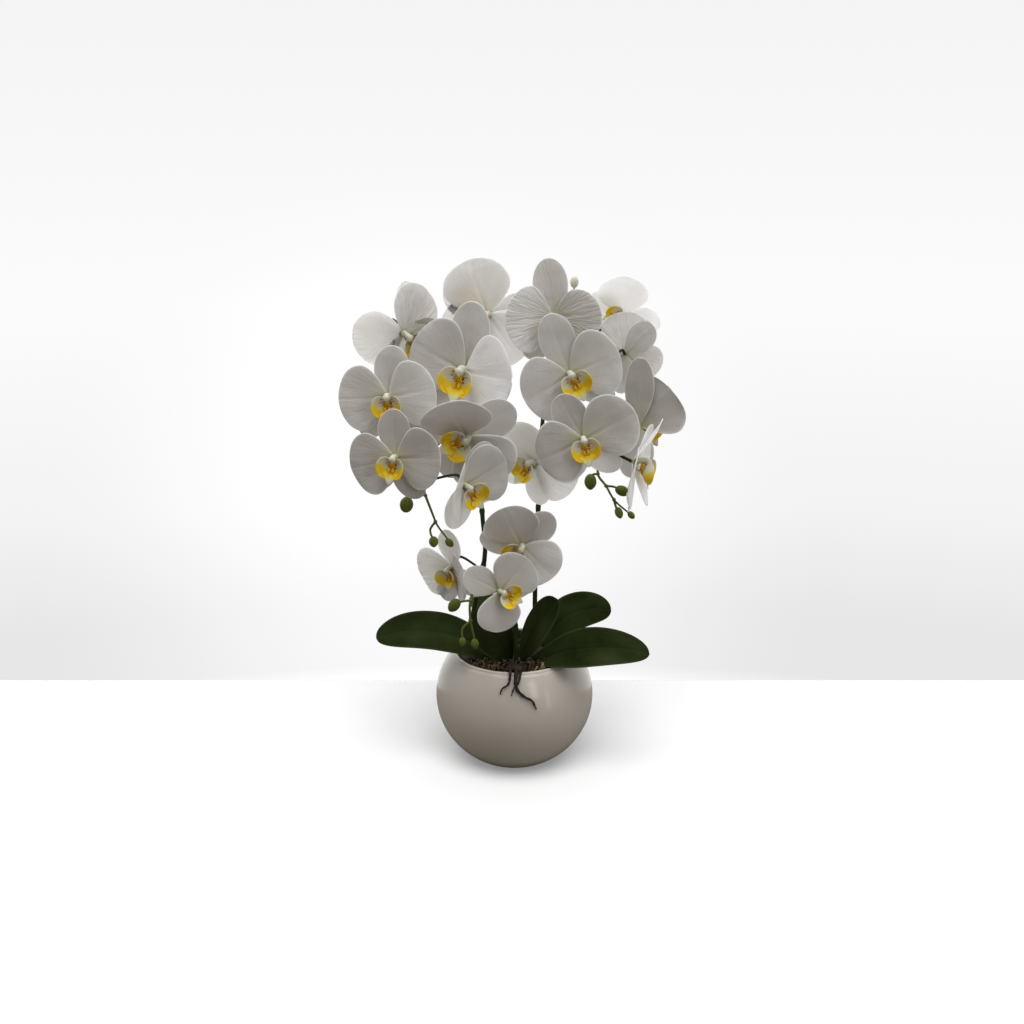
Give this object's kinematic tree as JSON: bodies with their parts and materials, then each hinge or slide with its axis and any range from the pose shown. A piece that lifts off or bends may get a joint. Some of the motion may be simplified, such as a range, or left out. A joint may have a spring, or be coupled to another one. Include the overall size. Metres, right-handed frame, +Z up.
{
  "type": "potted orchid",
  "caption": "Potted moth orchid: round glazed bowl filled with bark, broad strap leaves, two arching flower spikes with white blooms, and small sprays of closed buds.",
  "frame": {"origin": "middle of the flat foot of the pot, on the resting plane", "axes": "+Z is up, from the pot's foot to the flowers; the flowers mostly face -Y; +X is to the right when looking at the flowers"},
  "size_m": [0.3269, 0.2392, 0.5085],
  "materials": {
    "pot_glaze": "smooth warm white glaze",
    "bark": "rough potting bark and moss curls",
    "root": "dull dark brown air roots",
    "leaf": "satin dark green leaf",
    "stem": "satin dark green stem",
    "bud": "satin green buds and twigs",
    "petal": "soft white petal with faint ribs, slightly translucent",
    "lip": "white lip with yellow edges, orange throat and red-brown flecks"
  },
  "bodies": {
    "root": {"pot": "pot_glaze", "potting_bark": "bark", "air_roots": "root", "leaf_left": "leaf", "leaf_front_left": "leaf", "leaf_upright": "leaf", "leaf_right_back": "leaf", "leaf_right_front": "leaf", "leaf_back": "leaf", "spike_left": "stem", "spike_right": "stem", "stem_short": "stem", "bud_spray_left": "bud", "bud_spray_right": "bud", "bud_spray_low": "bud", "bud_top": "petal", "flower_a01_petals": "petal", "flower_a01_lip": "lip", "flower_a02_petals": "petal", "flower_a02_lip": "lip", "flower_a03_petals": "petal", "flower_a03_lip": "lip", "flower_a04_petals": "petal", "flower_a04_lip": "lip", "flower_a05_petals": "petal", "flower_a05_lip": "lip", "flower_a06_petals": "petal", "flower_a06_lip": "lip", "flower_a07_petals": "petal", "flower_a07_lip": "lip", "flower_a08_petals": "petal", "flower_a08_lip": "lip", "flower_a09_petals": "petal", "flower_a09_lip": "lip", "flower_a10_petals": "petal", "flower_a10_lip": "lip", "flower_a11_petals": "petal", "flower_a11_lip": "lip", "flower_b01_petals": "petal", "flower_b01_lip": "lip", "flower_b02_petals": "petal", "flower_b02_lip": "lip", "flower_b03_petals": "petal", "flower_b03_lip": "lip", "flower_b04_petals": "petal", "flower_b04_lip": "lip", "flower_b05_petals": "petal", "flower_b05_lip": "lip", "flower_b06_petals": "petal", "flower_b06_lip": "lip", "flower_b07_petals": "petal", "flower_b07_lip": "lip"}
  },
  "joints": []
}
